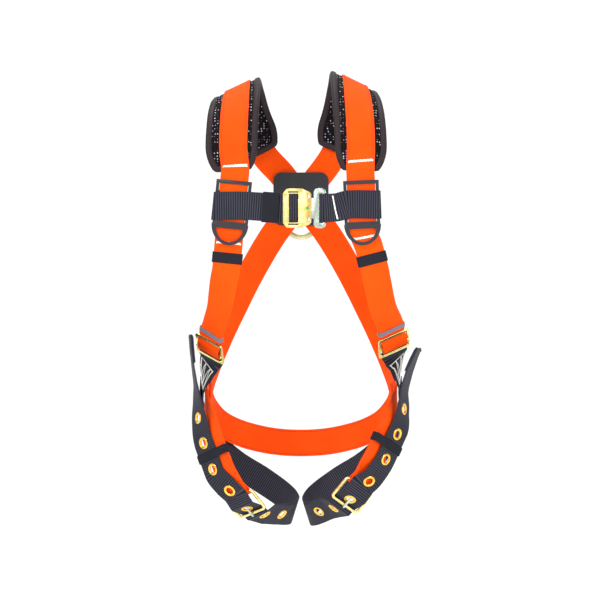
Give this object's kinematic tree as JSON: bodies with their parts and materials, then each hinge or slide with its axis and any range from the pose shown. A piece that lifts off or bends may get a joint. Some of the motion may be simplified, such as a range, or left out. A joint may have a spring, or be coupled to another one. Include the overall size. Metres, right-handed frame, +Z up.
{
  "type": "full body safety harness",
  "caption": "Full-body fall-arrest harness: orange webbing, padded shoulders, chest buckle, grommeted leg straps and back D-ring.",
  "frame": {"origin": "on the wearer's vertical centreline at waist height, midway between chest and back", "axes": "+Z up along the body, -Y out of the chest, +X to the wearer's left"},
  "size_m": [0.3728, 0.2588, 0.7397],
  "materials": {
    "webbing_orange": "woven polyester webbing",
    "webbing_black": "ribbed woven polyester webbing",
    "foam": "closed-cell foam",
    "spacer_mesh": "3-D spacer mesh",
    "binding": "folded tape",
    "elastic_black": "woven elastic",
    "elastic_grey": "woven elastic",
    "guide_plastic": "moulded nylon",
    "zinc_gold": "yellow zinc plated steel",
    "zinc_silver": "clear zinc plated steel",
    "steel_bright": "bright steel",
    "indicator_green": "gloss",
    "grommet_brass": "polished",
    "zinc_forged": "zinc plated forging"
  },
  "bodies": {
    "harness": {"main_strap_r": "webbing_orange", "pad_foam_r": "foam", "pad_mesh_r": "spacer_mesh", "pad_binding_r": "binding", "hip_strap_r": "webbing_black", "thigh_strap_r": "webbing_orange", "leg_strap_r": "webbing_black", "grommets_r": "grommet_brass", "adjuster_frame_r": "zinc_gold", "leg_buckle_r": "zinc_gold", "tail_band_r": "elastic_grey", "main_strap_l": "webbing_orange", "pad_foam_l": "foam", "pad_mesh_l": "spacer_mesh", "pad_binding_l": "binding", "hip_strap_l": "webbing_black", "thigh_strap_l": "webbing_orange", "leg_strap_l": "webbing_black", "grommets_l": "grommet_brass", "adjuster_frame_l": "zinc_gold", "leg_buckle_l": "zinc_gold", "tail_band_l": "elastic_grey", "dorsal_plate": "guide_plastic", "seat_strap": "webbing_orange"},
    "dorsal_ring": {"dorsal_ring": "zinc_forged"},
    "chest": {"chest_guide_r": "guide_plastic", "chest_guide_l": "guide_plastic", "chest_strap_r": "webbing_black", "chest_strap_l": "webbing_black", "buckle_plate": "zinc_gold", "buckle_back": "zinc_gold", "buckle_bar": "steel_bright", "buckle_spring_top": "steel_bright", "buckle_spring_bottom": "steel_bright", "buckle_rivets": "steel_bright", "buckle_indicator": "indicator_green"},
    "chest_keeper": {"chest_keeper": "elastic_black"},
    "buckle_tab": {"buckle_tab": "zinc_silver"},
    "latch_top": {"buckle_latch_top": "zinc_gold"},
    "latch_bottom": {"buckle_latch_bottom": "zinc_gold"},
    "strap_keeper_r": {"strap_keeper_r": "elastic_black"},
    "adjuster_bar_r": {"adjuster_bar_r": "zinc_gold"},
    "leg_tongue_r": {"leg_tongue_r": "zinc_gold"},
    "leg_keeper_r": {"leg_keeper_r": "elastic_black"},
    "strap_keeper_l": {"strap_keeper_l": "elastic_black"},
    "adjuster_bar_l": {"adjuster_bar_l": "zinc_gold"},
    "leg_tongue_l": {"leg_tongue_l": "zinc_gold"},
    "leg_keeper_l": {"leg_keeper_l": "elastic_black"}
  },
  "joints": [
    {"name": "dorsal_ring_swing", "type": "hinge", "parent": "harness", "child": "dorsal_ring", "pos_m": [0, 0.1185, 0.2155], "axis": [1, 0, 0], "range_deg": [0, 160]},
    {"name": "chest_height", "type": "slide", "parent": "harness", "child": "chest", "axis": [0, -0.041, 0.9992], "range_m": [-0.003, 0.003]},
    {"name": "chest_keeper_slide", "type": "slide", "parent": "chest", "child": "chest_keeper", "axis": [0.9978, 0, -0.0664], "range_m": [-0.012, 0.001]},
    {"name": "tab_pull", "type": "slide", "parent": "chest", "child": "buckle_tab", "axis": [1, 0, 0], "range_m": [0, 0.025], "deforming": ["chest_strap_l"]},
    {"name": "latch_top_press", "type": "slide", "parent": "chest", "child": "latch_top", "axis": [0, 0, -1], "range_m": [0, 0.002], "stiffness_N_per_m": 600, "springref_m": -0.001, "deforming": ["buckle_spring_top"]},
    {"name": "latch_bottom_press", "type": "slide", "parent": "chest", "child": "latch_bottom", "axis": [0, 0, 1], "range_m": [0, 0.002], "stiffness_N_per_m": 600, "springref_m": -0.001, "deforming": ["buckle_spring_bottom"]},
    {"name": "strap_keeper_slide_r", "type": "slide", "parent": "harness", "child": "strap_keeper_r", "axis": [0.0932, -0.0466, 0.9946], "range_m": [-0.004, 0.004]},
    {"name": "strap_keeper_slide_l", "type": "slide", "parent": "harness", "child": "strap_keeper_l", "axis": [-0.2485, -0.0877, 0.9647], "range_m": [-0.004, 0.004]},
    {"name": "adjuster_bar_slide_r", "type": "slide", "parent": "harness", "child": "adjuster_bar_r", "axis": [-0.0723, -0.6855, 0.7245], "range_m": [0, 0.004]},
    {"name": "adjuster_bar_slide_l", "type": "slide", "parent": "harness", "child": "adjuster_bar_l", "axis": [-0.0571, -0.6984, 0.7135], "range_m": [0, 0.004]},
    {"name": "tongue_lift_r", "type": "hinge", "parent": "harness", "child": "leg_tongue_r", "pos_m": [-0.09805, -0.10289, -0.26056], "axis": [-0.7632, 0.5414, -0.3528], "range_deg": [0, 5]},
    {"name": "tongue_lift_l", "type": "hinge", "parent": "harness", "child": "leg_tongue_l", "pos_m": [0.09223, -0.09881, -0.2468], "axis": [-0.7375, -0.3753, 0.5614], "range_deg": [0, 5]},
    {"name": "leg_keeper_slide_r", "type": "slide", "parent": "harness", "child": "leg_keeper_r", "axis": [-0.339, 0.1512, 0.9286], "range_m": [-0.003, 0.003]},
    {"name": "leg_keeper_slide_l", "type": "slide", "parent": "harness", "child": "leg_keeper_l", "axis": [0.4144, 0.1984, 0.8882], "range_m": [-0.003, 0.003]}
  ]
}
